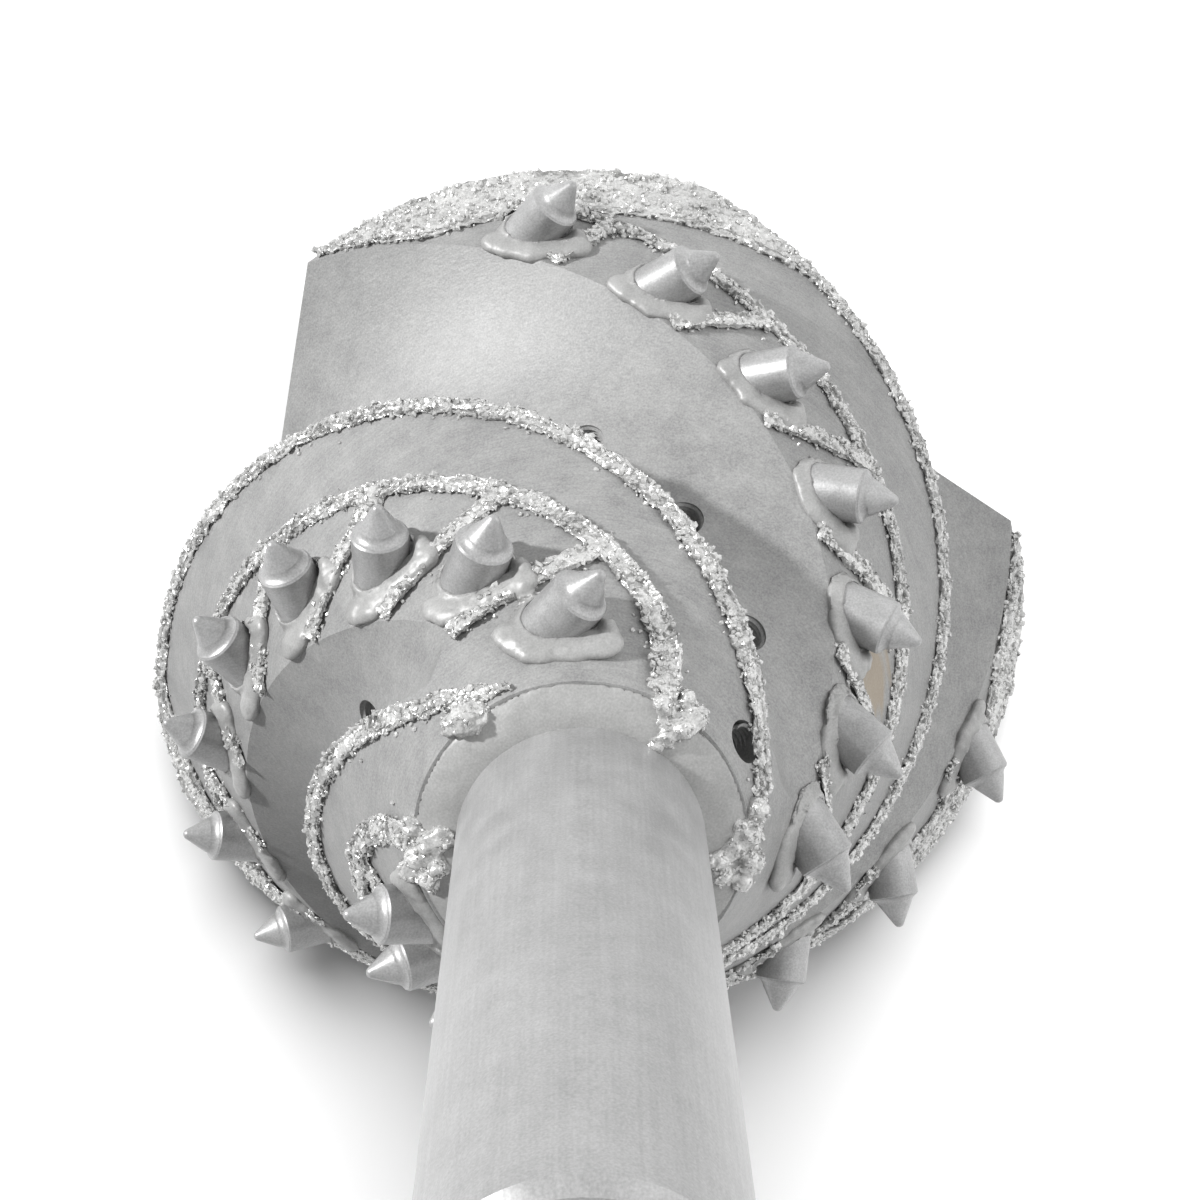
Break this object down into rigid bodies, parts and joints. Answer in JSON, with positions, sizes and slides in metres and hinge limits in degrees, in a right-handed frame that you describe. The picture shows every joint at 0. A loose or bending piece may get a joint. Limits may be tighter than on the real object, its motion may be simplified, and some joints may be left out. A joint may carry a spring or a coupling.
{
  "type": "button reamer",
  "caption": "Cone-shaped drilling reamer head on a long round shaft, with spiral blades that carry carbide teeth and ridges of hardfacing.",
  "frame": {"origin": "centre of the flat rear face of the head's hub, which it stands on", "axes": "+Z along the tool axis towards the front end of the shaft; +X is the start of the turns of blade a"},
  "size_m": [0.3976, 0.4013, 0.572],
  "materials": {
    "shaft_paint": "satin silver paint on steel pipe",
    "head_paint": "satin silver paint on machined steel",
    "weld_paint": "silver paint on rippled weld",
    "hardfacing_paint": "silver paint on crushed carbide grains",
    "holder_paint": "satin silver paint on turned steel",
    "tip_paint": "satin silver paint on pressed carbide"
  },
  "bodies": {
    "root": {"shaft": "shaft_paint", "head": "head_paint", "front_weld": "weld_paint", "rear_weld": "weld_paint", "tooth_welds_a": "weld_paint", "hardfacing_a": "hardfacing_paint", "tooth_welds_b": "weld_paint", "hardfacing_b": "hardfacing_paint", "tooth_welds_c": "weld_paint", "hardfacing_c": "hardfacing_paint", "holder_a1": "holder_paint", "tip_a1": "tip_paint", "holder_a2": "holder_paint", "tip_a2": "tip_paint", "holder_a3": "holder_paint", "tip_a3": "tip_paint", "holder_a4": "holder_paint", "tip_a4": "tip_paint", "holder_a5": "holder_paint", "tip_a5": "tip_paint", "holder_a6": "holder_paint", "tip_a6": "tip_paint", "holder_a7": "holder_paint", "tip_a7": "tip_paint", "holder_a8": "holder_paint", "tip_a8": "tip_paint", "holder_b1": "holder_paint", "tip_b1": "tip_paint", "holder_b2": "holder_paint", "tip_b2": "tip_paint", "holder_b3": "holder_paint", "tip_b3": "tip_paint", "holder_b4": "holder_paint", "tip_b4": "tip_paint", "holder_b5": "holder_paint", "tip_b5": "tip_paint", "holder_b6": "holder_paint", "tip_b6": "tip_paint", "holder_b7": "holder_paint", "tip_b7": "tip_paint", "holder_b8": "holder_paint", "tip_b8": "tip_paint", "holder_c1": "holder_paint", "tip_c1": "tip_paint", "holder_c2": "holder_paint", "tip_c2": "tip_paint", "holder_c3": "holder_paint", "tip_c3": "tip_paint", "holder_c4": "holder_paint", "tip_c4": "tip_paint", "holder_c5": "holder_paint", "tip_c5": "tip_paint", "holder_c6": "holder_paint", "tip_c6": "tip_paint", "holder_c7": "holder_paint", "tip_c7": "tip_paint"}
  },
  "joints": []
}
